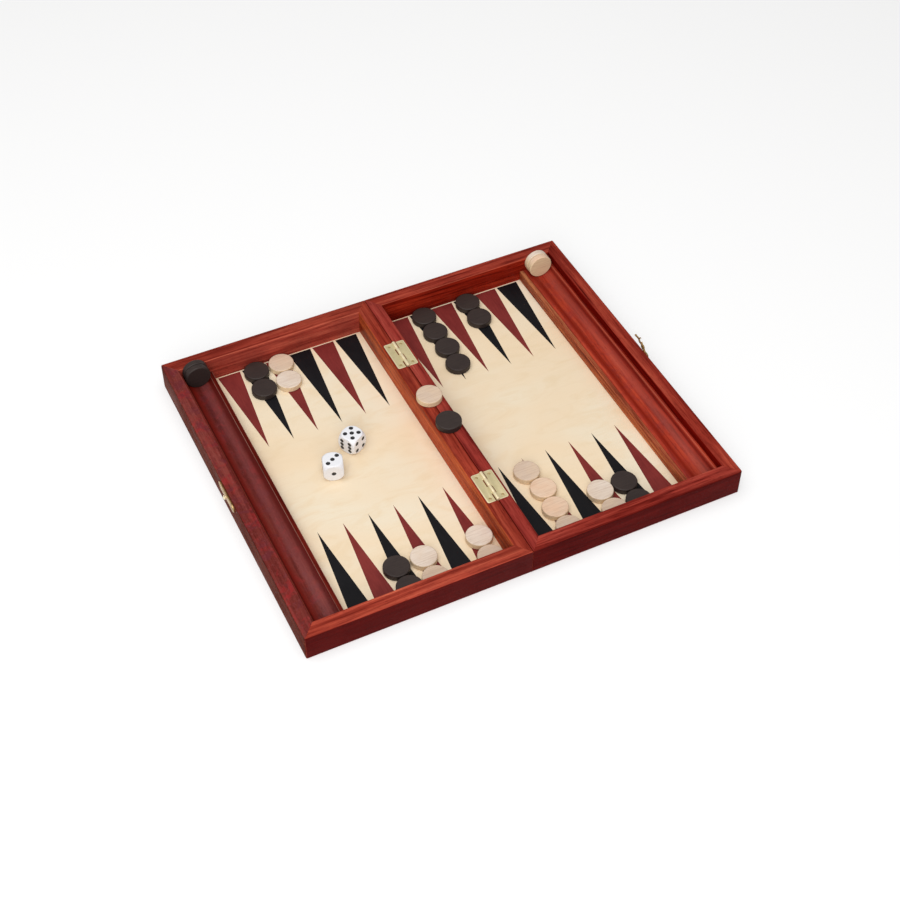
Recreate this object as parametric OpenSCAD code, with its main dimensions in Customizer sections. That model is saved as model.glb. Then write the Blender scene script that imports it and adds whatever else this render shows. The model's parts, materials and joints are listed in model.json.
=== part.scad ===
// Folding backgammon set, lying open: two shallow wooden half boxes with mitred rails, an inlaid
// playing field and a checker tray in each, two brass butt hinges, a brass hook latch,
// fifteen light and fifteen dark checkers, and two dice.
// Origin: middle of the open board on its underside. +X right, +Y back, +Z up.

/* [Case] */
// Depth of the board, along the fold
case_depth = 302; // [298:1:322]
// Width of one half, from the fold to its outer face
half_width = 179.2; // [177.6:0.2:187.6]
// Height of one half
case_height = 23.8; // [23:0.1:26]
// Thickness of the front and back rails
side_rail_t = 12.2; // [10:0.1:12.6]
// Thickness of the outer rails
outer_rail_t = 11.2; // [9:0.1:12.4]
// Thickness of the middle rails, measured from the fold
middle_rail_t = 10.5; // [10:0.1:11]
// Dark gap between the two middle rails
fold_gap = 0.3; // [0.3:0.1:1]
// Rounding of the rails' top edges
top_round = 0.9; // [0.4:0.1:2]
// Rounding of the rails' bottom outer edges
bottom_round = 1.6; // [0.5:0.1:4]
// Rounding of the upright corners at the outer ends
corner_round = 2; // [1:0.5:6]

/* [Playing field] */
// Thickness of the playing field panel
field_t = 2; // [1.6:0.1:2.6]
// Thickness of the inlaid points
inlay_t = 0.6; // [0.3:0.1:1]
// Pale margin between a rail or tray and the nearest point's pitch
field_margin = 3; // [1:0.5:4]
// Pale line between a side rail and the points' bases
base_margin = 1; // [0.5:0.1:2]
// Half the width of a point at its base
point_half_base = 9.5; // [8:0.1:10]
// Distance from the board's middle line to the points' tips
point_tip_y = 48.3; // [40:0.1:60]

/* [Checker tray] */
// Width of the tray with its divider strip
tray_w = 26.8; // [26:0.1:28]
// Thickness of the divider strip
divider_t = 3.5; // [2:0.1:4]
// Height of the tray on the side of the playing field
tray_low_z = 11.4; // [10.5:0.1:13]
// Height of the tray's ledge beside the outer rail
tray_high_z = 17.1; // [15:0.1:18]
// Radius of the groove that the checkers stand in
groove_r = 11.2; // [11:0.1:11.6]
// Height of the groove's lowest line
groove_low_z = 9.5; // [8:0.1:10]
// Distance from the groove's centre line to the outer rail
groove_inset = 12.5; // [12.3:0.1:13]

/* [Checkers and dice] */
// Diameter of a checker
checker_d = 20.6; // [18:0.1:20.6]
// Thickness of a checker
checker_t = 5.3; // [4:0.1:5.4]
// Rounding of a checker's edges
checker_round = 0.9; // [0.3:0.1:1.5]
// Least gap between loose pieces
piece_gap = 0.3; // [0.3:0.1:0.5]
// Edge length of a die
die_size = 16; // [12:0.5:16]
// Distance between neighbouring pips
pip_pitch = 3.75; // [3.5:0.05:4.2]
// Radius of a pip
pip_r = 1.7; // [1.2:0.05:1.7]

/* [Hinges] */
// Position of the back hinge along the fold
back_hinge_y = 78; // [60:0.5:90]
// Position of the front hinge along the fold
front_hinge_y = -80.5; // [-90:0.5:-60]
// Length of a hinge
hinge_l = 30; // [24:1:34]
// Width of one leaf, from the fold
leaf_w = 8.8; // [8:0.1:9]
// Thickness of a leaf
leaf_t = 1; // [0.8:0.1:1.2]
// Radius of the hinge barrel
barrel_r = 1.4; // [1.3:0.05:1.6]
// Radius of the hinge pin
pin_r = 0.7; // [0.6:0.05:0.8]

/* [Latch] */
// Length of the catch plate on the left end
catch_plate_l = 32; // [20:1:34]
// Length of the hook's plate on the right end
hook_plate_l = 22; // [18:1:26]
// Height of both latch plates
latch_plate_h = 7; // [6:0.5:7.5]
// Thickness of both latch plates
latch_plate_t = 1; // [0.8:0.1:1.2]
// Thickness of the hook
hook_t = 1.2; // [0.8:0.1:1.5]
// Position of the catch stud along the fold
stud_y = 1; // [0:0.5:3]
// Height of the catch stud
stud_z = 17.5; // [16:0.5:18]
// Position of the hook's pivot along the fold
pivot_y = -6; // [-7:0.5:-4]
// Height of the hook's pivot
pivot_z = 19; // [18:0.5:19]
// Angle of the hook above the rail's line as it lies in the open board
hook_rest_angle = 39; // [30:1:45]

/* [Hidden] */
$fn = 64;
groove_fn = 128;
die_fn = 96;
over = 1;                    // how far a cut runs past the face that it opens
depth_half = case_depth / 2;
inner_y = depth_half - side_rail_t;
tray_outer_x = half_width - outer_rail_t;
field_end_x = tray_outer_x - tray_w;
tray_x = field_end_x + divider_t;
groove_x = tray_outer_x - groove_inset;
fold_x = fold_gap / 2;
fold_round = 0.8;            // rounding of the rails' top edges along the fold
fold_bottom_round = 1;

points_per_row = 6;
point_pitch = (field_end_x - middle_rail_t - 2 * field_margin) / points_per_row;
first_point_x = middle_rail_t + field_margin + point_pitch / 2;

axis_lift = 0.1;             // height of the fold's axis above the rails
axis_z = case_height + axis_lift;
knuckles = 4;
knuckle_gap = 0.15;
knuckle_slot_w = 0.8;        // open slot in a leaf beside the other leaf's knuckle
barrel_clear = 0.2;
pin_clear = 0.05;
leaf_round = 1.5;
leaf_pocket_gap = 0.15;
nail_r = 0.6;
nail_head_r = 1.2;
nail_head_t = 0.5;
nail_sink = 0.02;            // how far a nail's head lies below its plate's face
leaf_nail_l = 9;
leaf_nail_x = 5.3;
leaf_nail_y = 11.5;

slide_gap = 0.05;            // running gap on each side of the hook
head_base = latch_plate_t + hook_t + 2 * slide_gap;
dome_h = 1;
rivet_r = 1.2;
rivet_head_r = 2.4;
stud_r = 1.2;
stud_head_r = 2;
latch_shank_l = 5;
plate_nail_inset = 3.5;
hook_plate_z = pivot_z - 1;

closed_stud_z = 2 * axis_z - stud_z;  // the stud's height as the closed right half sees it
reach = norm([stud_y - pivot_y, closed_stud_z - pivot_z]);
notch_clear = 0.25;
notch_r = stud_r + notch_clear;
mouth_ring_t = 1.1;
mouth_angle = 45;
boss_r = 3.1;
arm_w = 2.2;
swell_x = 7.6;               // the pierced swelling halfway along the hook's arm
swell_r = 2.1;
swell_hole_r = 0.7;
tail_angle = -41;
tail_l = 5.9;
tail_w = 1.1;
tail_end_r = 0.9;

checkers_per_colour = 15;
checker_r = checker_d / 2;
stack_step = checker_d + piece_gap;
stack_y = inner_y - checker_r - piece_gap;
bar_light = [-1, 22.5];
bar_dark = [0.5, -9.5];
rest_gap = 0.05;             // gap under a piece that rests on a part that moves past it
die_rounding = 0.7;          // radius of the ball that rounds a die's corners, by its size
die_corner_r = die_size * die_rounding;
die_three_at = [-93.5, 1];
die_three_turn = -17;
die_five_at = [-69, 20];
die_five_turn = 28;
pip_sphere_r = 2.6;
pip_depth = pip_sphere_r - sqrt(pow(pip_sphere_r, 2) - pow(pip_r, 2));
LEFT = -1;
RIGHT = 1;
FRONT = -1;
BACK = 1;

// Stacks of flat checkers: half, point counted from the left, row, sideways place of each checker
// from its point's centre line, starting at the rail
LIGHT_STACKS = [
    [LEFT, 2, BACK, [0.8, -0.8]],
    [LEFT, 3, FRONT, [-2.1, -2.1]],
    [LEFT, 5, FRONT, [1.4, 1.9]],
    [RIGHT, 1, FRONT, [-1.7, -2.2, -1.2, -4.7]],
    [RIGHT, 3, FRONT, [-3.7, -4.7]]
];
DARK_STACKS = [
    [LEFT, 1, BACK, [0, -1.5]],
    [LEFT, 2, FRONT, [-2.3, -3.3]],
    [RIGHT, 1, BACK, [-0.2, 0.3, 1.3, 0.8]],
    [RIGHT, 3, BACK, [-0.7, -0.2]],
    [RIGHT, 4, FRONT, [-3.5, -4.5]]
];

function point_x(side, k) = side * first_point_x + point_pitch * (side < 0 ? k - points_per_row + 1 : k);
function stack_places(stacks) = [
    for (s = stacks)
        for (i = [0 : len(s[3]) - 1])
            [point_x(s[0], s[1]) + s[3][i], s[2] * (stack_y - i * stack_step), field_t]
];
function two_digits(i) = i < 10 ? str("0", i) : str(i);
function checker_names(colour) = [
    for (i = [1 : checkers_per_colour]) str(colour, "_checker_", two_digits(i))
];

LIGHT_FLAT = stack_places(LIGHT_STACKS);
DARK_FLAT = stack_places(DARK_STACKS);
LIGHT_NAMES = checker_names("light");
DARK_NAMES = checker_names("dark");
RAILS = ["front_rail", "back_rail", "outer_rail", "middle_rail"];

// ---------- Helpers ----------

// Draws its children, made for the right half, on the given side
module on_side(side) {
    if (side < 0) mirror([1, 0, 0]) children();
    else children();
}

// What a rounded corner loses: the arc's centre is the origin, the corner lies at +r, +r
module corner_waste(r) {
    difference() {
        square(r + over);
        circle(r);
    }
}

// Turns a drawing of Y and Z into a solid that grows along +X
module along_x(length) {
    rotate([90, 0, 90]) linear_extrude(length) children();
}

// Turns a drawing of X and Z into a solid that grows from the front, y, towards the back
module along_y(y, length) {
    translate([0, y + length, 0]) rotate([90, 0, 0]) linear_extrude(length) children();
}

// A rod along the fold
module fold_rod(r, y, length) {
    translate([0, y, axis_z]) rotate([-90, 0, 0]) cylinder(r = r, h = length);
}

// ---------- Rails, drawn for the right half ----------

// Cross-section of a rail: inner face at 0, outer face at t
module rail_section(t, outer_r, low_r) {
    difference() {
        square([t, case_height]);
        translate([t - outer_r, case_height - outer_r]) corner_waste(outer_r);
        translate([top_round, case_height - top_round]) mirror([1, 0]) corner_waste(top_round);
        translate([t - low_r, low_r]) mirror([0, 1]) corner_waste(low_r);
    }
}

// Plan of the half box with its rounded outer corners, cut by one rail's mitres
module mitred_plan(points) {
    difference() {
        polygon(points);
        for (row = [FRONT, BACK])
            mirror([0, row < 0 ? 1 : 0])
                translate([half_width - corner_round, depth_half - corner_round])
                    corner_waste(corner_round);
    }
}

module side_rail(row) {
    mirror([0, row < 0 ? 1 : 0, 0])
        intersection() {
            translate([fold_x, inner_y, 0])
                along_x(half_width - fold_x) rail_section(side_rail_t, top_round, bottom_round);
            linear_extrude(case_height)
                mitred_plan([
                    [fold_x, depth_half], [middle_rail_t, inner_y],
                    [tray_outer_x, inner_y], [half_width, depth_half]
                ]);
        }
}

module outer_rail() {
    intersection() {
        along_y(-depth_half, case_depth)
            translate([tray_outer_x, 0]) rail_section(outer_rail_t, top_round, bottom_round);
        linear_extrude(case_height)
            mitred_plan([
                [half_width, depth_half], [tray_outer_x, inner_y],
                [tray_outer_x, -inner_y], [half_width, -depth_half]
            ]);
    }
}

module middle_rail() {
    difference() {
        intersection() {
            along_y(-depth_half, case_depth)
                translate([middle_rail_t, 0]) mirror([1, 0])
                    rail_section(middle_rail_t - fold_x, fold_round, fold_bottom_round);
            linear_extrude(case_height)
                polygon([
                    [fold_x, depth_half], [middle_rail_t, inner_y],
                    [middle_rail_t, -inner_y], [fold_x, -depth_half]
                ]);
        }
        for (y = [front_hinge_y, back_hinge_y]) {
            translate([0, y, case_height - leaf_t])
                linear_extrude(leaf_t + over) leaf_outline(leaf_pocket_gap);
            fold_rod(barrel_r + barrel_clear, y - hinge_l / 2 - barrel_clear, hinge_l + 2 * barrel_clear);
        }
    }
}

// ---------- Playing field and tray, drawn for the right half ----------

module field_panel(side) {
    length_x = tray_outer_x - middle_rail_t;
    difference() {
        on_side(side)
            translate([middle_rail_t, -inner_y, 0]) cube([length_x, 2 * inner_y, field_t]);
        translate([0, 0, field_t - inlay_t])
            linear_extrude(inlay_t + over) {
                point_outlines(side, 0);
                point_outlines(side, 1);
            }
    }
}

// Six inlaid points of one half: the back row's even points and the front row's odd ones,
// counted from the left, or with first = 1 the other six
module point_outlines(side, first) {
    for (k = [0 : points_per_row - 1])
        translate([point_x(side, k), 0])
            mirror([0, (k + first) % 2 == 0 ? 0 : 1])
                polygon([
                    [-point_half_base, inner_y - base_margin],
                    [0, point_tip_y],
                    [point_half_base, inner_y - base_margin]
                ]);
}

module inlaid_points(side, first) {
    translate([0, 0, field_t - inlay_t]) linear_extrude(inlay_t) point_outlines(side, first);
}

module tray_divider() {
    divider_round = 0.6;
    along_y(-inner_y, 2 * inner_y)
        difference() {
            translate([field_end_x, field_t]) square([divider_t, tray_low_z - field_t]);
            translate([field_end_x + divider_round, tray_low_z - divider_round])
                mirror([1, 0]) corner_waste(divider_round);
            translate([tray_x - divider_round, tray_low_z - divider_round])
                corner_waste(divider_round);
        }
}

module checker_tray() {
    along_y(-inner_y, 2 * inner_y)
        difference() {
            translate([tray_x, field_t]) square([tray_outer_x - tray_x, tray_high_z - field_t]);
            translate([tray_x - over, tray_low_z]) square([groove_x - tray_x + over, case_height]);
            translate([groove_x, groove_low_z + groove_r]) circle(groove_r, $fn = groove_fn);
        }
}

// ---------- Hinges ----------

// Outline of a leaf on the right of the fold, grown by gap
module leaf_outline(gap) {
    difference() {
        translate([0, -hinge_l / 2 - gap]) square([leaf_w + gap, hinge_l + 2 * gap]);
        for (row = [FRONT, BACK])
            mirror([0, row < 0 ? 1 : 0])
                translate([leaf_w - leaf_round, hinge_l / 2 - leaf_round])
                    difference() {
                        square(leaf_round + over);
                        circle(leaf_round + gap);
                    }
    }
}

// One leaf: own is the first of its knuckles, the other leaf has the ones between
module hinge_leaf(y, own, hole_r) {
    knuckle_l = hinge_l / knuckles;
    y0 = y - hinge_l / 2;
    difference() {
        union() {
            translate([0, y, case_height - leaf_t]) linear_extrude(leaf_t) leaf_outline(0);
            for (i = [own : 2 : knuckles - 1])
                fold_rod(barrel_r, y0 + i * knuckle_l + knuckle_gap / 2, knuckle_l - knuckle_gap);
        }
        for (i = [1 - own : 2 : knuckles - 1]) {
            slot_y = y0 + i * knuckle_l - knuckle_gap / 2;
            fold_rod(barrel_r + barrel_clear, slot_y, knuckle_l + knuckle_gap);
            translate([0, slot_y, case_height - leaf_t - over])
                cube([barrel_r + knuckle_slot_w, knuckle_l + knuckle_gap, leaf_t + 2 * over]);
        }
        fold_rod(hole_r, y0 - over, hinge_l + 2 * over);
        for (row = [FRONT, BACK])
            translate([leaf_nail_x, y + row * leaf_nail_y, case_height]) nail_hole(leaf_t);
    }
}

module hinge_leaves(side) {
    own = side < 0 ? 1 : 0;
    hole_r = side < 0 ? pin_r : pin_r + pin_clear;
    on_side(side)
        for (y = [front_hinge_y, back_hinge_y])
            hinge_leaf(y, own, hole_r);
}

module hinge_pins() {
    for (y = [front_hinge_y, back_hinge_y])
        fold_rod(pin_r, y - hinge_l / 2, hinge_l);
}

// A nail driven down through a plate whose face is at the origin
module nail(length) {
    translate([0, 0, -nail_head_t]) cylinder(r = nail_head_r, h = nail_head_t - nail_sink);
    translate([0, 0, -length]) cylinder(r = nail_r, h = length - nail_head_t);
}

// The hole that a nail's shank and sunk head fill in the plate
module nail_hole(plate_t) {
    translate([0, 0, -plate_t - over]) cylinder(r = nail_r, h = plate_t + 2 * over);
    translate([0, 0, -nail_head_t]) cylinder(r = nail_head_r, h = nail_head_t + over);
}

module leaf_nails(side) {
    for (y = [front_hinge_y, back_hinge_y])
        for (row = [FRONT, BACK])
            translate([side * leaf_nail_x, y + row * leaf_nail_y, case_height]) nail(leaf_nail_l);
}

// Draws its children, made upright, at both ends of a latch plate, pointing out of its face
module at_plate_ends(length, y, z) {
    for (row = [FRONT, BACK])
        translate([half_width + latch_plate_t, y + row * (length / 2 - plate_nail_inset), z])
            rotate([0, 90, 0]) children();
}

module plate_nails(length, y, z) {
    at_plate_ends(length, y, z) nail(latch_shank_l);
}

// ---------- Latch, drawn on the right outer face ----------

// Plate with round ends, holed for its two nails and for the shank in its middle
module latch_plate(length, y, z, hole_y, hole_z) {
    end_r = latch_plate_h / 2;
    difference() {
        translate([half_width, 0, 0])
            along_x(latch_plate_t)
                difference() {
                    union() {
                        translate([y - length / 2 + end_r, z - end_r])
                            square([length - 2 * end_r, latch_plate_h]);
                        for (row = [FRONT, BACK])
                            translate([y + row * (length / 2 - end_r), z]) circle(end_r);
                    }
                    translate([hole_y, hole_z]) circle(rivet_r);
                }
        at_plate_ends(length, y, z) nail_hole(latch_plate_t);
    }
}

// Shank with a domed head outside the hook's plane
module headed_shank(y, z, shank_r, head_r) {
    dome_sphere_r = (pow(head_r, 2) + pow(dome_h, 2)) / (2 * dome_h);
    translate([half_width, y, z])
        rotate([0, 90, 0]) {
            translate([0, 0, -latch_shank_l]) cylinder(r = shank_r, h = latch_shank_l + head_base);
            translate([0, 0, head_base])
                intersection() {
                    translate([0, 0, dome_h - dome_sphere_r]) sphere(dome_sphere_r);
                    cylinder(r = head_r + over, h = dome_sphere_r);
                }
        }
}

// Arc band about the pivot along which the stud enters the mouth
module mouth_path() {
    far = 2 * (reach + notch_r);
    intersection() {
        difference() {
            circle(reach + notch_r);
            circle(reach - notch_r);
        }
        polygon([[0, 0], [far, 0], far * [cos(mouth_angle), sin(mouth_angle)]]);
    }
}

// Hook with its arm along +X of the drawing: a boss round the rivet, an arm with a pierced swelling,
// a ring open on one side that closes round the stud, and a thin tail to push it with
module hook_outline() {
    difference() {
        union() {
            circle(boss_r);
            translate([0, -arm_w / 2]) square([reach - notch_r, arm_w]);
            translate([swell_x, 0]) circle(swell_r);
            translate([reach, 0]) circle(notch_r + mouth_ring_t);
            translate([reach, 0]) rotate(tail_angle) translate([notch_r, -tail_w / 2]) square([tail_l, tail_w]);
            translate([reach, 0]) rotate(tail_angle) translate([notch_r + tail_l, 0]) circle(tail_end_r);
        }
        circle(rivet_r + pin_clear);
        translate([swell_x, 0]) circle(swell_hole_r);
        translate([reach, 0]) circle(notch_r);
        mouth_path();
    }
}

module latch_hook() {
    translate([half_width + latch_plate_t + slide_gap, pivot_y, pivot_z])
        along_x(hook_t) rotate(hook_rest_angle) hook_outline();
}

// ---------- Checkers and dice ----------

module checker() {
    rotate_extrude()
        difference() {
            square([checker_r, checker_t]);
            translate([checker_r - checker_round, checker_t - checker_round])
                corner_waste(checker_round);
            translate([checker_r - checker_round, checker_round])
                mirror([0, 1]) corner_waste(checker_round);
        }
}

// Checker standing on edge in the tray, the first one against the back rail
module tray_checker(side, place) {
    y = inner_y - piece_gap - place * (checker_t + piece_gap);
    translate([side * groove_x, y, groove_low_z + checker_r + rest_gap])
        rotate([90, 0, 0]) checker();
}

// The first checkers lie on the points, the next on the bar, and the last ones stand in the tray
module placed_checker(i, flat, bar, side) {
    on_points = len(flat);
    if (i < on_points) translate(flat[i]) checker();
    else if (i == on_points) translate([bar[0], bar[1], case_height + rest_gap]) checker();
    else tray_checker(side, i - on_points - 1);
}

// Places of the pips on a face with n of them
function pips(n) = concat(
    n % 2 == 1 ? [[0, 0]] : [],
    n > 1 ? [[-1, -1], [1, 1]] : [],
    n > 3 ? [[-1, 1], [1, -1]] : [],
    n == 6 ? [[-1, 0], [1, 0]] : []
);

// Hollows of one face: turn takes the top face to it
module pip_hollows(n, turn) {
    rotate(turn)
        translate([0, 0, die_size / 2 + pip_sphere_r - pip_depth])
            for (p = pips(n))
                translate(pip_pitch * p) sphere(pip_sphere_r);
}

// Die standing on the origin; opposite faces add up to seven
module die(top, front, right) {
    translate([0, 0, die_size / 2])
        difference() {
            intersection() {
                cube(die_size, center = true);
                sphere(die_corner_r, $fn = die_fn);
            }
            pip_hollows(top, [0, 0, 0]);
            pip_hollows(7 - top, [180, 0, 0]);
            pip_hollows(front, [90, 0, 0]);
            pip_hollows(7 - front, [-90, 0, 0]);
            pip_hollows(right, [90, 0, 90]);
            pip_hollows(7 - right, [90, 0, -90]);
        }
}

module placed_die(place, turn, top, front, right) {
    translate([place[0], place[1], field_t]) rotate(turn) die(top, front, right);
}

// ---------- Drawing ----------

rail_colour = "#9c3a2c";
field_colour = "#efdcb8";
red_colour = "#8c3832";
black_colour = "#1f1f22";
brass_colour = "#c8b67a";
light_colour = "#e2cfb8";
dark_colour = "#3e3430";
die_colour = "#f6f6f8";

for (side = [LEFT, RIGHT]) {
    name = side < 0 ? "left_" : "right_";
    color(rail_colour) on_side(side) side_rail(FRONT);
    color(rail_colour) on_side(side) side_rail(BACK);
    color(rail_colour) on_side(side) outer_rail();
    color(rail_colour) on_side(side) middle_rail();
    color(field_colour) field_panel(side);
    color(red_colour) inlaid_points(side, 0);
    color(black_colour) inlaid_points(side, 1);
    color(rail_colour) on_side(side) tray_divider();
    color(rail_colour) on_side(side) checker_tray();
    color(brass_colour) hinge_leaves(side);
}
color(brass_colour) hinge_pins();
color(brass_colour) {  // left_nails
    leaf_nails(LEFT);
    on_side(LEFT) plate_nails(catch_plate_l, stud_y, stud_z);
}
color(brass_colour) {  // right_nails
    leaf_nails(RIGHT);
    plate_nails(hook_plate_l, pivot_y, hook_plate_z);
}
color(brass_colour)  // catch_plate
    on_side(LEFT) latch_plate(catch_plate_l, stud_y, stud_z, stud_y, stud_z);
color(brass_colour)  // catch_stud
    on_side(LEFT) headed_shank(stud_y, stud_z, stud_r, stud_head_r);
color(brass_colour)  // hook_plate
    latch_plate(hook_plate_l, pivot_y, hook_plate_z, pivot_y, pivot_z);
color(brass_colour) latch_hook();
color(brass_colour)  // hook_rivet
    headed_shank(pivot_y, pivot_z, rivet_r, rivet_head_r);
for (i = [0 : checkers_per_colour - 1]) {
    color(light_colour)
        placed_checker(i, LIGHT_FLAT, bar_light, RIGHT);
    color(dark_colour)
        placed_checker(i, DARK_FLAT, bar_dark, LEFT);
}
color(die_colour)  // die_showing_three
    placed_die(die_three_at, die_three_turn, 3, 1, 2);
color(die_colour)  // die_showing_five
    placed_die(die_five_at, die_five_turn, 5, 4, 1);
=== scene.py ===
"""Looks of the folding backgammon set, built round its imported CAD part."""

import json
import math
import random

import bmesh
import bpy
from mathutils import Matrix, Vector


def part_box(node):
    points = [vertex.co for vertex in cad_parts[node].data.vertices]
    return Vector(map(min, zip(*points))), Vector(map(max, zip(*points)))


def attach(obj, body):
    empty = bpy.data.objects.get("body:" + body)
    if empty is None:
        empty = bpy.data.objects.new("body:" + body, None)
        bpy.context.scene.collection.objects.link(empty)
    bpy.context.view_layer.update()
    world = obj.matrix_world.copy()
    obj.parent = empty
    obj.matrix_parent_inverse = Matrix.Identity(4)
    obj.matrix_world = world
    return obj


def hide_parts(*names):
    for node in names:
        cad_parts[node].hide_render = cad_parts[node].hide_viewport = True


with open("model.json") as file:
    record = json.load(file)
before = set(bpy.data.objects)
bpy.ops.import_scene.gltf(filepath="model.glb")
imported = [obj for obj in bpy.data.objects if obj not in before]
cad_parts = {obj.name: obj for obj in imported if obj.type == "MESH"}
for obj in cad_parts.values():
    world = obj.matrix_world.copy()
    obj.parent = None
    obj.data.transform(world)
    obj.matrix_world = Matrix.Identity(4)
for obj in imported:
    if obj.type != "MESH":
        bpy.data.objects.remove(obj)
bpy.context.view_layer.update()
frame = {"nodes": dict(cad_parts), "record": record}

MM = 0.001
nodes = frame["nodes"]
body_of = {n: body for body, names in frame["record"]["behaviour"]["bodies"].items() for n in names}


# ---------- Camera, light and floor ----------

VIEW_AZIMUTH = -26.17
VIEW_ELEVATION = 47.16
VIEW_ROLL = 0.23
VIEW_DISTANCE = 1.2668
VIEW_LENS = 64.5
VIEW_AIM = Vector((-0.0008, -0.0146, 0.0))
SENSOR_WIDTH = 36
CLIP_START = 0.05
CLIP_END = 20

# Name, place, size in metres and power in watts of each lamp. They all aim at the board's middle.
LAMPS = (
    ("light_above", (-0.35, -0.2, 1.7), (1.8, 1.8), 23),
    ("light_front", (-0.8, -1.5, 1.0), (1.6, 1.0), 16),
)
ROOM_COLOUR = (1.0, 0.99, 0.98, 1)
ROOM_STRENGTH = 0.3
FLOOR_REACH = 6
FLOOR_DROP = 0.0002
FLOOR_COLOUR = (0.55, 0.55, 0.55, 1)
FLOOR_GLOW = 0.47


def make_camera():
    data = bpy.data.cameras.new("camera")
    data.lens = VIEW_LENS
    data.sensor_width = SENSOR_WIDTH
    data.clip_start = CLIP_START
    data.clip_end = CLIP_END
    camera = bpy.data.objects.new("camera", data)
    bpy.context.scene.collection.objects.link(camera)
    a, e = math.radians(VIEW_AZIMUTH), math.radians(VIEW_ELEVATION)
    back = Vector((math.sin(a) * math.cos(e), -math.cos(a) * math.cos(e), math.sin(e)))
    camera.location = VIEW_AIM + back * VIEW_DISTANCE
    camera.rotation_mode = "QUATERNION"
    turn = Matrix.Rotation(math.radians(VIEW_ROLL), 3, "Z").to_quaternion()
    camera.rotation_quaternion = (-back).to_track_quat("-Z", "Y") @ turn
    bpy.context.scene.camera = camera


def area_light(name, place, size, power):
    data = bpy.data.lights.new(name, "AREA")
    data.shape = "RECTANGLE"
    data.size, data.size_y = size
    data.energy = power
    light = bpy.data.objects.new(name, data)
    bpy.context.scene.collection.objects.link(light)
    light.location = place
    light.rotation_mode = "QUATERNION"
    light.rotation_quaternion = (-Vector(place)).to_track_quat("-Z", "Y")


def make_studio():
    scene = bpy.context.scene
    scene.view_settings.view_transform = "Standard"
    world = bpy.data.worlds.new("studio")
    world.use_nodes = True
    background = world.node_tree.nodes["Background"]
    background.inputs["Color"].default_value = ROOM_COLOUR
    background.inputs["Strength"].default_value = ROOM_STRENGTH
    scene.world = world
    for lamp in LAMPS:
        area_light(*lamp)

    mesh = bpy.data.meshes.new("floor")
    corners = [(x * FLOOR_REACH, y * FLOOR_REACH, 0) for x, y in ((-1, -1), (1, -1), (1, 1), (-1, 1))]
    mesh.from_pydata(corners, [], [(0, 1, 2, 3)])
    floor = bpy.data.objects.new("floor", mesh)
    floor.location.z = -FLOOR_DROP
    scene.collection.objects.link(floor)
    paper = Graph("floor_paper")
    paper.shade("Base Color", FLOOR_COLOUR)
    paper.shade("Roughness", 0.9)
    paper.shade("Specular IOR Level", 0.1)
    paper.shade("Emission Color", PLAIN)
    paper.shade("Emission Strength", FLOOR_GLOW)
    floor.data.materials.append(paper.material)


# ---------- Node graphs ----------


class Graph:
    """A material whose nodes are added one call at a time."""

    def __init__(self, name):
        self.material = bpy.data.materials.new(name)
        self.material.use_nodes = True
        self.tree = self.material.node_tree
        self.shader = self.tree.nodes["Principled BSDF"]
        self.coordinates = None

    def add(self, kind, sockets=None, **settings):
        node = self.tree.nodes.new(kind)
        for key, value in settings.items():
            setattr(node, key, value)
        for key, value in (sockets or {}).items():
            self.put(node.inputs[key], value)
        return node

    def put(self, socket, value):
        if isinstance(value, bpy.types.NodeSocket):
            self.tree.links.new(value, socket)
        else:
            socket.default_value = value

    def shade(self, socket, value):
        self.put(self.shader.inputs[socket], value)

    def place(self):
        """Object coordinates, in metres."""
        if self.coordinates is None:
            self.coordinates = self.add("ShaderNodeTexCoord")
        return self.coordinates.outputs["Object"]

    def normal(self):
        self.place()
        return self.coordinates.outputs["Normal"]

    def mapped(self, scale, offset, turn=(0, 0, 0)):
        """Object coordinates scaled, turned and moved."""
        sockets = {"Vector": self.place(), "Location": offset, "Rotation": turn, "Scale": scale}
        return self.add("ShaderNodeMapping", sockets).outputs["Vector"]

    def noise(self, vector, detail=4.0, roughness=0.55, distortion=0.0):
        node = self.add(
            "ShaderNodeTexNoise",
            {
                "Vector": vector,
                "Scale": 1.0,
                "Detail": detail,
                "Roughness": roughness,
                "Distortion": distortion,
            },
        )
        return node.outputs["Fac"]

    def span(self, value, low, high, to_low=0.0, to_high=1.0, smooth=False):
        """value carried from low..high to to_low..to_high, and held at the ends."""
        node = self.add(
            "ShaderNodeMapRange",
            {
                "Value": value,
                "From Min": low,
                "From Max": high,
                "To Min": to_low,
                "To Max": to_high,
            },
        )
        node.clamp = True
        if smooth:
            node.interpolation_type = "SMOOTHSTEP"
        return node.outputs["Result"]

    def math(self, operation, a, b=0.0):
        node = self.add("ShaderNodeMath", operation=operation)
        for socket, value in zip(node.inputs, (a, b)):
            self.put(socket, value)
        return node.outputs["Value"]

    def mix(self, factor, a, b, blend="MIX"):
        node = self.add("ShaderNodeMix", data_type="RGBA", blend_type=blend)
        node.clamp_factor = True
        colours = [s for s in node.inputs if s.type == "RGBA"]
        self.put(node.inputs[0], factor)
        self.put(colours[0], a)
        self.put(colours[1], b)
        return [s for s in node.outputs if s.type == "RGBA"][0]

    def split(self, vector):
        return self.add("ShaderNodeSeparateXYZ", {"Vector": vector}).outputs

    def bump(self, height, distance, strength):
        sockets = {"Height": height, "Distance": distance, "Strength": strength}
        return self.add("ShaderNodeBump", sockets).outputs["Normal"]

    def facing_edge(self, low=0.8, high=0.985):
        """1 on the roundings between square faces, 0 on the faces."""
        x, y, z = self.split(self.normal())
        most = self.math("MAXIMUM", self.math("ABSOLUTE", x), self.math("ABSOLUTE", y))
        most = self.math("MAXIMUM", most, self.math("ABSOLUTE", z))
        return self.span(most, low, high, 1.0, 0.0, smooth=True)


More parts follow.
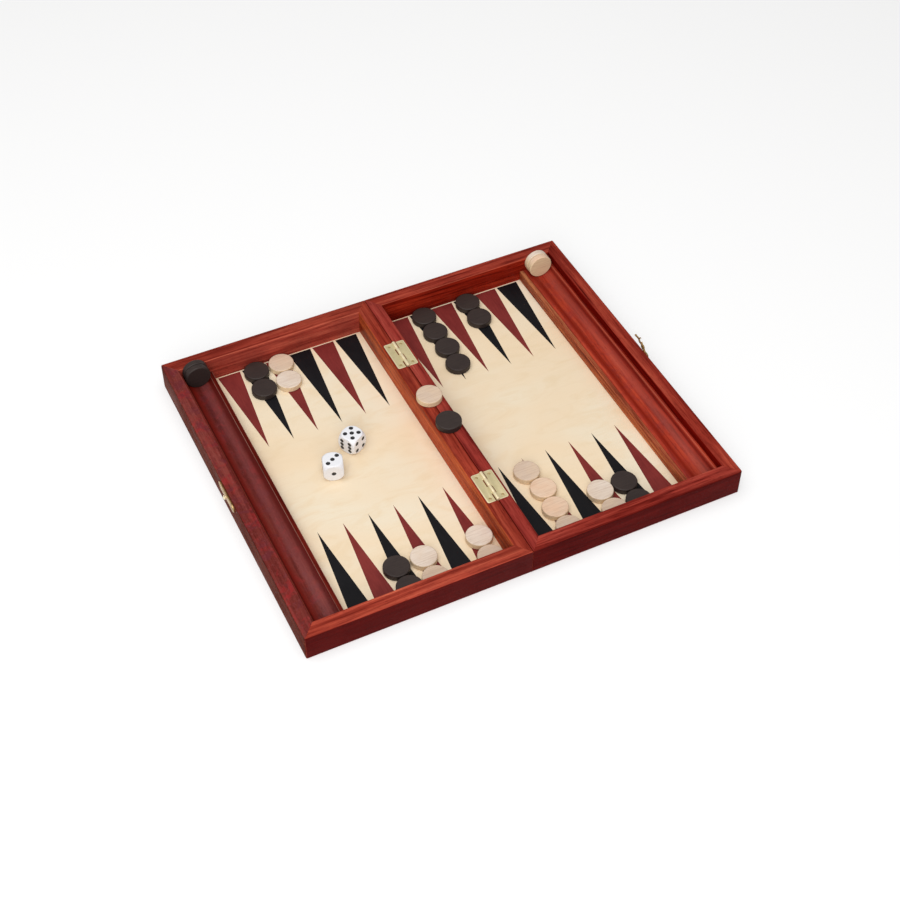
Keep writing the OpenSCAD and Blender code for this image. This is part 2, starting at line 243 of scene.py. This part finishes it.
def rgb(red, green, blue):
    """Linear colour from screen values of 0 to 255."""
    return tuple(
        v / 255 / 12.92 if v <= 10 else ((v / 255 + 0.055) / 1.055) ** 2.4 for v in (red, green, blue)
    ) + (1.0,)


def along(axis, length, width):
    """Scale that stretches a noise along an axis: its features are that long and wide, in metres."""
    return tuple(1 / length if i == "XYZ".index(axis) else 1 / width for i in range(3))


def random_offset(rng):
    """Where in the endless noise a material's figure is taken from."""
    return tuple(rng.uniform(-5, 5) for _ in range(3))


# ---------- Materials ----------

PLAIN = (1, 1, 1, 1)
GRAIN_DARK = (0.36, 0.15, 0.15, 1)
GRAIN_BRIGHT = (1.38, 1.9, 1.8, 1)
CLOUD_DARK = (0.6, 0.62, 0.75, 1)
# Colours of the cloudy mottle: the outer rail's own figure, and in the trays a painted speckled sheen
RED_MOTTLE_AND_SHEEN = rgb(162, 44, 46)
PURPLE_MOTTLE_AND_SHEEN = rgb(104, 44, 50)
SPECKLE_AND_SHEEN = rgb(150, 84, 84)
FIBRE_BROWN = (0.35, 0.22, 0.1, 1)
# Tone of the outward faces: the red stain darkened as painted shade
SHADED_OUTSIDE = rgb(86, 14, 12)
OUTSIDE_FIGURE = 0.4
DULL_SHINE = 0.02

# Length and width in metres of the stained wood's figure, from coarse to fine
WOOD_BANDS = (0.2, 0.009)
WOOD_STREAKS = (0.07, 0.0028)
WOOD_FIBRES = (0.03, 0.0011)
WOOD_PORES = (0.006, 0.00045)
PANEL_STREAKS = (0.08, 0.004)
VENEER_FIBRES = (0.03, 0.0007)
INLAY_FIBRES = (0.012, 0.0006)
CHECKER_FIBRES = (0.02, 0.0009)
CHECKER_LINES = (0.004, 0.00025)
BRASS_LINES = (0.02, 0.0003)


def long_sides(g, axis):
    """1 on the side that faces -X or -Y of a piece that runs along an axis, and 1 on the opposite side."""
    sideways = g.split(g.normal())["Y" if axis == "X" else "X"]
    return g.span(sideways, -0.5, -0.85), g.span(sideways, 0.5, 0.85)


def mottle_and_speckled_sheen(g, colour, offset, amount):
    """Cloudy red and purple figure with a fine speckle, as cross-grained wood takes the stain. In the trays
    it is a painted speckled sheen instead.
    """
    patches = g.noise(g.mapped((90, 70, 90), offset), detail=5, roughness=0.7, distortion=0.6)
    others = g.noise(g.mapped((70, 85, 70), offset, (0, 0, 1)), detail=5, roughness=0.7, distortion=0.4)
    speckle = g.noise(g.mapped((650, 420, 650), offset), detail=3, roughness=0.7)
    top = g.span(g.split(g.normal())["Z"], 0.5, 0.9)
    colour = g.mix(g.math("MULTIPLY", g.span(patches, 0.5, 0.64, 0, 0.6 * amount), top), colour, RED_MOTTLE_AND_SHEEN)
    colour = g.mix(g.math("MULTIPLY", g.span(others, 0.5, 0.62, 0, 0.7 * amount), top), colour, PURPLE_MOTTLE_AND_SHEEN)
    return g.mix(g.span(speckle, 0.54, 0.7, 0, 0.3 * amount), colour, SPECKLE_AND_SHEEN)


def stained_wood(name, axis, seed, tones, wear_and_highlight, contrast, mottle_and_sheen, lines, shine, roughness=0.4):
    """Open-grained wood under red stain and satin varnish, with its grain along an axis.

    The outside faces show less of the grain. tones are those of the top, the low side, the high side and the
    edges; the side tones are painted light and shade, and the edge tone a painted highlight. lines are bands
    of painted shade, sheen and highlight along the piece: distance from X = 0, half width, tone and strength.
    """
    top, low, high, edge = tones
    offset = random_offset(random.Random(seed))
    g = Graph(name)
    bands = g.noise(g.mapped(along(axis, *WOOD_BANDS), offset), detail=3, roughness=0.6, distortion=0.8)
    streaks = g.noise(g.mapped(along(axis, *WOOD_STREAKS), offset), detail=4, roughness=0.65, distortion=0.3)
    fibres = g.noise(g.mapped(along(axis, *WOOD_FIBRES), offset), detail=3, roughness=0.6)
    pores = g.noise(g.mapped(along(axis, *WOOD_PORES), offset), detail=2, roughness=0.5)
    clouds = g.noise(g.mapped((30, 30, 30), offset), detail=4, roughness=0.65)
    on_low, on_high = long_sides(g, axis)
    # Painted light and shade: each long side takes its own lit or shaded tone
    colour = g.mix(on_high, g.mix(on_low, top, low), high)
    outer = on_low if low == SHADED_OUTSIDE else on_high if high == SHADED_OUTSIDE else 0.0
    figure = g.span(outer, 0, 1, 0.8 * contrast, 0.8 * contrast * OUTSIDE_FIGURE)
    stain = g.mix(g.span(bands, 0.48, 0.32, 0, figure), PLAIN, GRAIN_DARK)
    stain = g.mix(g.span(bands, 0.5, 0.66, 0, figure), stain, GRAIN_BRIGHT)
    colour = g.mix(1.0, colour, stain, "MULTIPLY")
    stain = g.mix(g.span(streaks, 0.48, 0.34, 0, figure), PLAIN, GRAIN_DARK)
    stain = g.mix(g.span(streaks, 0.52, 0.66, 0, figure), stain, GRAIN_BRIGHT)
    colour = g.mix(1.0, colour, stain, "MULTIPLY")
    dark = g.mix(1.0, colour, GRAIN_DARK, "MULTIPLY")
    colour = g.mix(g.span(fibres, 0.5, 0.68, 0, 0.45 * contrast), colour, dark)
    colour = g.mix(g.span(clouds, 0.46, 0.62, 0, 0.3), colour, g.mix(1.0, colour, CLOUD_DARK, "MULTIPLY"))
    pore = g.span(pores, 0.6, 0.7)
    colour = g.mix(g.math("MULTIPLY", pore, 0.55), colour, dark)
    # Cloudy mottle, which in the trays is a painted speckled sheen
    if mottle_and_sheen:
        colour = mottle_and_speckled_sheen(g, colour, offset, mottle_and_sheen)
    # Painted highlight on the upward-facing rounded edges, uneven along them like rubbed wear
    if wear_and_highlight:
        rim = g.math("MULTIPLY", g.facing_edge(), g.span(clouds, 0.35, 0.6, 0.5, 1.0))
        rim = g.math("MULTIPLY", rim, g.span(g.split(g.normal())["Z"], 0.1, 0.3))
        colour = g.mix(g.math("MULTIPLY", rim, wear_and_highlight), colour, edge)
    # Painted shade, sheen and highlight in bands along the piece
    for where, half, tone, strength in lines:
        near = g.math("ABSOLUTE", g.math("SUBTRACT", g.math("ABSOLUTE", g.split(g.place())["X"]), where))
        colour = g.mix(g.span(near, half, half * 0.3, 0, strength), colour, tone)
    g.shade("Base Color", colour)
    uneven = g.math("ADD", streaks, clouds)
    g.shade("Roughness", g.span(uneven, 0.8, 1.25, roughness - 0.08, roughness + 0.12))
    g.shade("Specular IOR Level", shine)
    raised = g.math("ADD", streaks, g.math("MULTIPLY", fibres, 0.5))
    height = g.math("SUBTRACT", raised, g.math("MULTIPLY", pore, 0.8))
    g.shade("Normal", g.bump(height, 0.00014, 0.7))
    return g.material


def veneer(name, seed, base, warm, cool, outside, roughness=0.5):
    """Pale flat veneer under thin varnish: faint clouds and very fine fibres. Its underside, which is the
    outside of the closed case, is stained."""
    offset = random_offset(random.Random(seed))
    g = Graph(name)
    clouds = g.noise(g.mapped((9, 14, 9), offset), detail=3, roughness=0.55, distortion=0.5)
    flames = g.noise(g.mapped((26, 60, 26), offset), detail=4, roughness=0.6, distortion=1.2)
    fibres = g.noise(g.mapped(along("X", *VENEER_FIBRES), offset), detail=3, roughness=0.6)
    colour = g.mix(g.span(clouds, 0.35, 0.62), base, warm)
    colour = g.mix(g.span(flames, 0.48, 0.68, 0, 0.65), colour, cool)
    colour = g.mix(g.span(fibres, 0.55, 0.75, 0, 0.22), colour, g.mix(0.25, warm, FIBRE_BROWN))
    streaks = g.noise(g.mapped(along("Y", *PANEL_STREAKS), offset), detail=5, roughness=0.65, distortion=0.4)
    dark = g.mix(1.0, outside, GRAIN_DARK, "MULTIPLY")
    bright = g.mix(1.0, outside, GRAIN_BRIGHT, "MULTIPLY")
    stained = g.mix(g.span(streaks, 0.5, 0.3, 0, 0.7), outside, dark)
    stained = g.mix(g.span(streaks, 0.5, 0.68, 0, 0.7), stained, bright)
    colour = g.mix(g.span(g.split(g.normal())["Z"], -0.5, -0.9), colour, stained)
    g.shade("Base Color", colour)
    g.shade("Roughness", g.span(fibres, 0.3, 0.7, roughness - 0.06, roughness + 0.06))
    g.shade("Specular IOR Level", 0.3)
    g.shade("Normal", g.bump(fibres, 0.00004, 0.5))
    return g.material


def inlay(name, seed, base, other, amount):
    """Dyed veneer of the points."""
    offset = random_offset(random.Random(seed))
    g = Graph(name)
    clouds = g.noise(g.mapped((60, 30, 60), offset), detail=4, roughness=0.65)
    fibres = g.noise(g.mapped(along("Y", *INLAY_FIBRES), offset), detail=4, roughness=0.65)
    blend = g.math("ADD", g.math("MULTIPLY", clouds, 0.6), g.math("MULTIPLY", fibres, 0.4))
    g.shade("Base Color", g.mix(g.span(blend, 0.38, 0.64, 0, amount), base, other))
    g.shade("Roughness", g.span(fibres, 0.3, 0.7, 0.42, 0.6))
    g.shade("Specular IOR Level", 0.15)
    g.shade("Normal", g.bump(fibres, 0.00005, 0.6))
    return g.material


def turned_wood(name, seed, base, line, warm, rim, stripes, roughness):
    """A checker's wood: straight fibres across its faces and faint marks of the turning tool. Its sides take
    the rim tone: painted bounce light on the light checkers and painted shade on the dark ones.
    """
    rng = random.Random(seed)
    offset = random_offset(rng)
    turn = (0, 0, rng.uniform(0, math.pi))
    g = Graph(name)
    vector = g.mapped(along("X", *CHECKER_FIBRES), offset, turn)
    fibres = g.noise(vector, detail=5, roughness=0.7, distortion=0.25)
    clouds = g.noise(g.mapped((90, 90, 90), offset), detail=3)
    fine = g.noise(g.mapped(along("X", *CHECKER_LINES), offset, turn), detail=2)
    colour = g.mix(g.span(clouds, 0.35, 0.65), base, warm)
    # Painted light and shade: the sides take the rim tone
    colour = g.mix(g.span(g.split(g.normal())["Z"], 0.75, 0.35), colour, rim)
    colour = g.mix(g.span(fibres, 0.46, 0.66, 0, stripes), colour, line)
    colour = g.mix(g.span(fine, 0.56, 0.72, 0, stripes * 0.6), colour, line)
    g.shade("Base Color", colour)
    g.shade("Roughness", g.span(fibres, 0.3, 0.7, roughness - 0.08, roughness + 0.08))
    g.shade("Specular IOR Level", 0.3)
    height = g.math("ADD", g.math("MULTIPLY", fibres, 0.6), g.math("MULTIPLY", fine, 0.4))
    g.shade("Normal", g.bump(height, 0.00009, 0.7))
    return g.material


def brass(name, base, tarnish, seed, metal=0.6, roughness=0.36, tarnished=0.6, highlight=None):
    """Stamped brass, dulled by handling, with fine rolling lines along Y. highlight, if given, is a
    function of the graph that returns a factor, and the colour it leads to."""
    offset = random_offset(random.Random(seed))
    g = Graph(name)
    clouds = g.noise(g.mapped((260, 260, 260), offset), detail=4, roughness=0.6)
    lines = g.noise(g.mapped(along("Y", *BRASS_LINES), offset), detail=3, roughness=0.6)
    colour = g.mix(g.span(clouds, 0.42, 0.66, 0, tarnished), base, tarnish)
    colour = g.mix(g.span(lines, 0.52, 0.75, 0, 0.3), colour, tarnish)
    if highlight:
        factor, bright = highlight
        colour = g.mix(factor(g), colour, bright)
    g.shade("Base Color", colour)
    g.shade("Metallic", metal)
    g.shade("Roughness", g.span(g.math("ADD", clouds, lines), 0.8, 1.2, roughness - 0.08, roughness + 0.14))
    g.shade("Normal", g.bump(lines, 0.00003, 0.6))
    return g.material


def plastic(name, base, roughness, seed):
    g = Graph(name)
    offset = random_offset(random.Random(seed))
    haze = g.noise(g.mapped((300, 300, 300), offset), detail=3)
    grime = g.mix(g.span(haze, 0.4, 0.7, 0, 0.35), base, tuple(c * 0.93 for c in base[:3]) + (1,))
    g.shade("Base Color", grime)
    g.shade("Roughness", g.span(haze, 0.3, 0.7, roughness - 0.05, roughness + 0.07))
    g.shade("Specular IOR Level", 0.45)
    g.shade("Coat Weight", 0.2)
    g.shade("Coat Roughness", 0.12)
    g.shade("Normal", g.bump(g.noise(g.mapped((900, 900, 900), offset), detail=2), 0.00002, 0.4))
    return g.material


# ---------- Mesh helpers ----------

WELD = 0.002 * MM
FLAT_ANGLE = 0.5
SHARP_ANGLE = 35
SMOOTH_ANGLE = 0.6


def mesh_object(name, bm, materials, angle=SMOOTH_ANGLE):
    mesh = bpy.data.meshes.new(name)
    bm.normal_update()
    bm.to_mesh(mesh)
    bm.free()
    piece = bpy.data.objects.new(name, mesh)
    bpy.context.scene.collection.objects.link(piece)
    for m in materials:
        mesh.materials.append(m)
    mesh.shade_smooth()
    mesh.set_sharp_from_angle(angle=angle)
    return piece


def paint(node, material):
    """Gives a CAD node its material."""
    data = nodes[node].data
    data.materials.clear()
    data.materials.append(material)


def refined(node, width, material, segments=2):
    """Stands in for a CAD node: its own shape with every sharp edge rounded."""
    sharp = math.radians(SHARP_ANGLE)
    bm = bmesh.new()
    bm.from_mesh(nodes[node].data)
    bm.transform(nodes[node].matrix_world)
    bmesh.ops.remove_doubles(bm, verts=bm.verts, dist=WELD)
    bmesh.ops.dissolve_limit(bm, angle_limit=math.radians(FLAT_ANGLE), verts=bm.verts, edges=bm.edges)
    edges = [e for e in bm.edges if len(e.link_faces) == 2 and e.calc_face_angle(0) > sharp]
    bmesh.ops.bevel(
        bm,
        geom=edges,
        offset=width,
        segments=segments,
        profile=0.5,
        affect="EDGES",
        clamp_overlap=True,
        harden_normals=False,
    )
    piece = mesh_object(node + "_body", bm, [material], angle=sharp)
    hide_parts(node)
    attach(piece, body_of[node])
    return piece


def loose_parts(node):
    """Lowest and highest corner of each separate solid in a CAD node."""
    bm = bmesh.new()
    bm.from_mesh(nodes[node].data)
    bm.transform(nodes[node].matrix_world)
    bmesh.ops.remove_doubles(bm, verts=bm.verts, dist=WELD)
    left = set(bm.verts)
    parts = []
    while left:
        reached = [left.pop()]
        for vert in reached:
            for edge in vert.link_edges:
                other = edge.other_vert(vert)
                if other in left:
                    left.remove(other)
                    reached.append(other)
        parts.append([Vector(pick(v.co[i] for v in reached) for i in range(3)) for pick in (min, max)])
    bm.free()
    return sorted(parts, key=lambda part: tuple(part[0]))


def lathe(bm, profile, matrix, count=40):
    """Adds a profile of (radius, height) turned about the matrix's Z."""
    rings = []
    for r, z in profile:
        if r == 0:
            rings.append([bm.verts.new(matrix @ Vector((0, 0, z)))])
        else:
            turns = (2 * math.pi * i / count for i in range(count))
            points = (Vector((r * math.cos(a), r * math.sin(a), z)) for a in turns)
            rings.append([bm.verts.new(matrix @ point) for point in points])
    for a, b in zip(rings, rings[1:]):
        for i in range(count):
            j = (i + 1) % count
            corners = [a[i % len(a)], a[j % len(a)], b[j % len(b)], b[i % len(b)]]
            unique = list(dict.fromkeys(corners))
            if len(unique) > 2:
                bm.faces.new(unique)


def dome(radius, top, rim, steps=8):
    """Profile of a low dome, from its middle at height top to its rim."""
    return [
        (radius * math.sin(math.pi / 2 * i / steps), rim + (top - rim) * math.cos(math.pi / 2 * i / steps))
        for i in range(steps + 1)
    ]


make_camera()
make_studio()

# ---------- Wood ----------

# Tones of the painted edge highlight on rails, dividers and the trays' ledges
EDGE_HIGHLIGHT = rgb(206, 108, 82)
PALE_EDGE_HIGHLIGHT = rgb(214, 168, 150)
WOOD_BEVEL = 0.2 * MM

# Tone of each piece on top, on its side towards -X or -Y, on its side towards +X or +Y, and at its edges. The
# side tones are lit and shaded copies of the stain: painted light and shade. The edge tone is a painted
# highlight.
WOODS = {
    "left_front_rail": ("X", (rgb(178, 72, 54), SHADED_OUTSIDE, rgb(150, 46, 30), EDGE_HIGHLIGHT)),
    "left_back_rail": ("X", (rgb(151, 56, 42), rgb(175, 72, 58), SHADED_OUTSIDE, EDGE_HIGHLIGHT)),
    "left_outer_rail": ("Y", (rgb(130, 58, 52), rgb(98, 37, 20), rgb(124, 20, 12), EDGE_HIGHLIGHT)),
    "left_middle_rail": ("Y", (rgb(156, 58, 42), rgb(192, 84, 46), rgb(120, 30, 20), EDGE_HIGHLIGHT)),
    "left_tray_divider": ("Y", (rgb(100, 26, 18), rgb(92, 14, 8), rgb(140, 50, 30), PALE_EDGE_HIGHLIGHT)),
    "left_checker_tray": ("Y", (rgb(112, 40, 34), rgb(104, 18, 12), rgb(110, 16, 8), EDGE_HIGHLIGHT)),
    "right_front_rail": ("X", (rgb(161, 58, 47), SHADED_OUTSIDE, rgb(150, 46, 30), EDGE_HIGHLIGHT)),
    "right_back_rail": ("X", (rgb(140, 46, 35), rgb(152, 36, 20), SHADED_OUTSIDE, EDGE_HIGHLIGHT)),
    "right_outer_rail": ("Y", (rgb(144, 48, 36), rgb(108, 10, 4), SHADED_OUTSIDE, EDGE_HIGHLIGHT)),
    "right_middle_rail": ("Y", (rgb(150, 54, 46), rgb(120, 30, 20), rgb(140, 40, 24), EDGE_HIGHLIGHT)),
    "right_tray_divider": ("Y", (rgb(153, 75, 50), rgb(172, 84, 52), rgb(140, 40, 24), EDGE_HIGHLIGHT)),
    "right_checker_tray": ("Y", (rgb(168, 54, 34), rgb(150, 40, 26), rgb(140, 30, 16), EDGE_HIGHLIGHT)),
}
# Strength of the edge lightening: rubbed wear and painted highlight
EDGE_WEAR_AND_HIGHLIGHT = {"left_back_rail": 0.55, "right_back_rail": 0.45, "left_tray_divider": 0.5, "right_tray_divider": 0.25}
SHINE = {"left_outer_rail": 0.005, "left_checker_tray": 0.12, "right_checker_tray": 0.12}
# Strength of the cloudy mottle; in the trays it is a painted speckled sheen
MOTTLE_AND_SHEEN = {"left_outer_rail": 1.0, "left_checker_tray": 0.6, "right_checker_tray": 0.35}
CONTRAST = {
    "left_outer_rail": 0.6,
    "left_checker_tray": 0.6,
    "right_checker_tray": 0.7,
    "left_middle_rail": 0.8,
    "left_front_rail": 0.8,
    "left_back_rail": 0.85,
    "right_middle_rail": 0.8,
}

# Painted shade, sheen and edge highlight in bands along the trays' grooves: distance from the outer rail and
# half width in mm, tone and strength
TRAY_SHADE_AND_SHEEN = {
    "left_checker_tray": (
        (22, 4.2, rgb(82, 14, 9), 0.9),
        (15.5, 4.5, rgb(128, 68, 68), 0.4),
        (5, 4.5, rgb(122, 26, 14), 0.7),
        (3.3, 1, rgb(64, 6, 4), 0.6),
        (1.9, 0.6, EDGE_HIGHLIGHT, 0.2),
    ),
    "right_checker_tray": (
        (18.3, 3.2, rgb(130, 24, 8), 0.75),
        (7, 4, rgb(164, 80, 68), 0.35),
        (3.3, 1, rgb(96, 14, 6), 0.5),
        (1.9, 0.6, EDGE_HIGHLIGHT, 0.4),
    ),
}

FIRST_WOOD_SEED = 11
FIELD_SEEDS = (("left", 37), ("right", 47))

tray_outer_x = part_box("right_checker_tray")[1].x
for seed, (name, (axis, tones)) in enumerate(WOODS.items(), FIRST_WOOD_SEED):
    bands = TRAY_SHADE_AND_SHEEN.get(name, ())
    wood = stained_wood(
        name + "_wood",
        axis,
        seed,
        tones,
        wear_and_highlight=EDGE_WEAR_AND_HIGHLIGHT.get(name, 0),
        contrast=CONTRAST.get(name, 1.1),
        mottle_and_sheen=MOTTLE_AND_SHEEN.get(name, 0),
        lines=[(tray_outer_x - at * MM, half * MM, tone, strength) for at, half, tone, strength in bands],
        shine=SHINE.get(name, DULL_SHINE),
    )
    refined(name, WOOD_BEVEL, wood)

for side, seed in FIELD_SEEDS:
    pale = veneer(
        f"{side}_field_veneer",
        seed,
        base=rgb(239, 224, 198),
        warm=rgb(240, 217, 184),
        cool=rgb(234, 210, 174),
        outside=rgb(134, 40, 28),
    )
    paint(f"{side}_playing_field", pale)
    red = inlay(f"{side}_red_veneer", seed + 1, rgb(132, 50, 46), rgb(104, 32, 32), 0.8)
    paint(f"{side}_red_points", red)
    black = inlay(f"{side}_black_veneer", seed + 2, rgb(15, 14, 17), rgb(26, 25, 28), 0.8)
    paint(f"{side}_black_points", black)

# ---------- Checkers ----------

# Tones of a checker's wood: faces, fibres, clouds and rim, where the rim tone is painted light on the sides:
# warm bounce light on the light checkers, shade on the dark ones
BOUNCE_LIT_RIM = rgb(232, 206, 168)
PLAIN_BEECH = (rgb(216, 193, 172), rgb(182, 150, 128), rgb(220, 194, 168), BOUNCE_LIT_RIM)
PALE_BEECH = (rgb(230, 214, 198), rgb(190, 162, 144), rgb(226, 206, 186), BOUNCE_LIT_RIM)
WARM_BEECH = (rgb(232, 204, 178), rgb(198, 158, 128), rgb(232, 196, 166), BOUNCE_LIT_RIM)
PALE_CHECKERS = (2, 4, 6, 12, 14)
WARM_CHECKERS = (8, 9, 15)
STAINED_BEECH = (rgb(53, 42, 39), rgb(40, 32, 30), rgb(57, 46, 42), rgb(46, 37, 35))
CHECKERS_A_SIDE = 15
LIGHT_SEED = 100
DARK_SEED = 200

for i in range(1, CHECKERS_A_SIDE + 1):
    beech = PALE_BEECH if i in PALE_CHECKERS else WARM_BEECH if i in WARM_CHECKERS else PLAIN_BEECH
    name = f"light_checker_{i:02d}"
    paint(name, turned_wood(name + "_wood", LIGHT_SEED + i, *beech, stripes=0.5, roughness=0.55))
    name = f"dark_checker_{i:02d}"
    paint(name, turned_wood(name + "_wood", DARK_SEED + i, *STAINED_BEECH, stripes=0.5, roughness=0.5))

# ---------- Brass ----------

BARREL_HALF = 1.4 * MM
RIM_WIDTH = 0.9 * MM
BRASS_BEVEL = 0.15 * MM
BRASS_SEGMENTS = 3
# Colour of the painted highlight on the hinge barrel and the leaves' rims
HIGHLIGHT_BRASS = rgb(255, 238, 196)

hinges = [(low + high) / 2 for low, high in loose_parts("hinge_pins")]
leaf_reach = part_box("right_hinge_leaves")[1].x
leaf_half = max((part[1].y - part[0].y) / 2 for part in loose_parts("right_hinge_leaves"))


def leaf_shine(g):
    """Where the painted highlight goes: 1 along the barrel, and up to 0.75 on the leaves' raised rims."""
    x, y, z = g.split(g.place())
    across = g.math("ABSOLUTE", x)
    reach = g.math("MINIMUM", *(g.math("ABSOLUTE", g.math("SUBTRACT", y, hinge.y)) for hinge in hinges))
    rim = g.math("MAXIMUM", g.math("SUBTRACT", across, leaf_reach), g.math("SUBTRACT", reach, leaf_half))
    rim = g.span(rim, -RIM_WIDTH, -RIM_WIDTH / 2, 0, 0.75)
    barrel = g.span(across, BARREL_HALF, BARREL_HALF * 0.8)
    return g.math("MAXIMUM", rim, barrel)


LEAF_BRASS = brass(
    "leaf_brass", rgb(228, 212, 166), rgb(204, 190, 142), 301, metal=0.45, highlight=(leaf_shine, HIGHLIGHT_BRASS)
)
PIN_BRASS = brass(
    "pin_brass", rgb(250, 238, 196), rgb(214, 196, 140), 302, metal=0.5, roughness=0.25, tarnished=0.3
)
NAIL_BRASS = brass("nail_brass", rgb(204, 180, 130), rgb(150, 122, 80), 303)
LATCH_BRASS = brass(
    "latch_brass", rgb(206, 170, 110), rgb(104, 74, 42), 304, metal=0.75, roughness=0.3, tarnished=0.8
)
STUD_BRASS = brass(
    "stud_brass", rgb(252, 240, 206), rgb(216, 190, 140), 305, metal=0.4, roughness=0.25, tarnished=0.3
)
BRASS_PIECES = {
    "left_hinge_leaves": LEAF_BRASS,
    "right_hinge_leaves": LEAF_BRASS,
    "catch_plate": LATCH_BRASS,
    "hook_plate": LATCH_BRASS,
    "latch_hook": LATCH_BRASS,
    "hook_rivet": LATCH_BRASS,
    "catch_stud": STUD_BRASS,
    "hinge_pins": PIN_BRASS,
}
for name, material in BRASS_PIECES.items():
    refined(name, BRASS_BEVEL, material, BRASS_SEGMENTS)

NAIL_RIM = 0.3 * MM
NAIL_SHANK = 0.6 * MM


def make_nails(node):
    """Nails with low domed heads, each along the longest side of its CAD solid's box."""
    bm = bmesh.new()
    for low, high in loose_parts(node):
        size = high - low
        axis = max(range(3), key=lambda i: size[i])
        middle = (low + high) / 2
        outward = Vector((0, 0, 0))
        outward[axis] = 1 if axis == 2 or middle.x > 0 else -1
        middle[axis] = high[axis] if outward[axis] > 0 else low[axis]
        matrix = Matrix.Translation(middle) @ outward.to_track_quat("Z", "Y").to_matrix().to_4x4()
        head = min(size) / 2
        shank = [(NAIL_SHANK, -NAIL_RIM), (NAIL_SHANK, -size[axis]), (0, -size[axis])]
        lathe(bm, dome(head, 0, -NAIL_RIM) + shank, matrix)
    bmesh.ops.recalc_face_normals(bm, faces=bm.faces)
    piece = mesh_object(node + "_body", bm, [NAIL_BRASS])
    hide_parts(node)
    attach(piece, body_of[node])


make_nails("left_nails")
make_nails("right_nails")

# ---------- Dice ----------

DIE_WHITE = plastic("die_white_plastic", (0.86, 0.86, 0.89, 1), 0.28, 401)
PIP_BLACK = plastic("die_pip_paint", (0.012, 0.012, 0.014, 1), 0.4, 402)

DIE_HALF = 8 * MM
DIE_CORNER = 11.2 * MM
PIP_RADIUS = 1.75 * MM
PIP_PITCH = 3.75 * MM
PIP_DEPTH = 0.45 * MM
DIE_GRID = 72
DIE_FLATNESS = 28
DIE_BLEND = 44
DIE_SMOOTH_ANGLE = 1.2
DIE_WELD = 0.001 * MM


def pip_spots(n):
    """Places of n pips on a face, from its middle."""
    spots = [(0, 0)] if n % 2 else []
    if n > 1:
        spots += [(-1, -1), (1, 1)]
    if n > 3:
        spots += [(-1, 1), (1, -1)]
    if n == 6:
        spots += [(-1, 0), (1, 0)]
    return [Vector((x, y)) * PIP_PITCH for x, y in spots]


def die_radius(d):
    """Distance from the die's centre to its surface along the unit direction d."""
    flat = DIE_HALF / sum(abs(c) ** DIE_FLATNESS for c in d) ** (1 / DIE_FLATNESS)
    return (flat**-DIE_BLEND + DIE_CORNER**-DIE_BLEND) ** (-1 / DIE_BLEND)


def make_die(node, turn, top, front, right):
    """A die with sunk pips, turned about its upright axis by so many degrees. Opposite faces add to 7."""
    low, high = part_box(node)
    centre = (low + high) / 2
    quarter = math.pi / 2
    faces = (
        (top, Matrix.Identity(3)),
        (7 - top, Matrix.Rotation(math.pi, 3, "X")),
        (front, Matrix.Rotation(quarter, 3, "X")),
        (7 - front, Matrix.Rotation(-quarter, 3, "X")),
        (right, Matrix.Rotation(quarter, 3, "Z") @ Matrix.Rotation(quarter, 3, "X")),
        (7 - right, Matrix.Rotation(-quarter, 3, "Z") @ Matrix.Rotation(quarter, 3, "X")),
    )
    bm = bmesh.new()
    for number, rotation in faces:
        spots = pip_spots(number)
        grid = []
        for i in range(DIE_GRID + 1):
            row = []
            for j in range(DIE_GRID + 1):
                u = math.tan((2 * i / DIE_GRID - 1) * math.pi / 4)
                v = math.tan((2 * j / DIE_GRID - 1) * math.pi / 4)
                d = Vector((u, v, 1)).normalized()
                point = d * die_radius(d)
                near = min((Vector(point[:2]) - s).length for s in spots)
                if near < PIP_RADIUS:
                    point.z -= PIP_DEPTH * (1 - (near / PIP_RADIUS) ** 2) ** 0.5
                row.append((bm.verts.new(rotation @ point), near))
            grid.append(row)
        for i in range(DIE_GRID):
            for j in range(DIE_GRID):
                corners = [grid[i][j], grid[i + 1][j], grid[i + 1][j + 1], grid[i][j + 1]]
                face = bm.faces.new([c[0] for c in corners])
                face.material_index = int(sum(c[1] for c in corners) / 4 < PIP_RADIUS)
    bmesh.ops.remove_doubles(bm, verts=bm.verts, dist=DIE_WELD)
    place = Matrix.Translation(centre) @ Matrix.Rotation(math.radians(turn), 4, "Z")
    bmesh.ops.transform(bm, matrix=place, verts=bm.verts)
    piece = mesh_object(node + "_body", bm, [DIE_WHITE, PIP_BLACK], angle=DIE_SMOOTH_ANGLE)
    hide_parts(node)
    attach(piece, body_of[node])


make_die("die_showing_three", -17, 3, 1, 2)
make_die("die_showing_five", 28, 5, 4, 1)
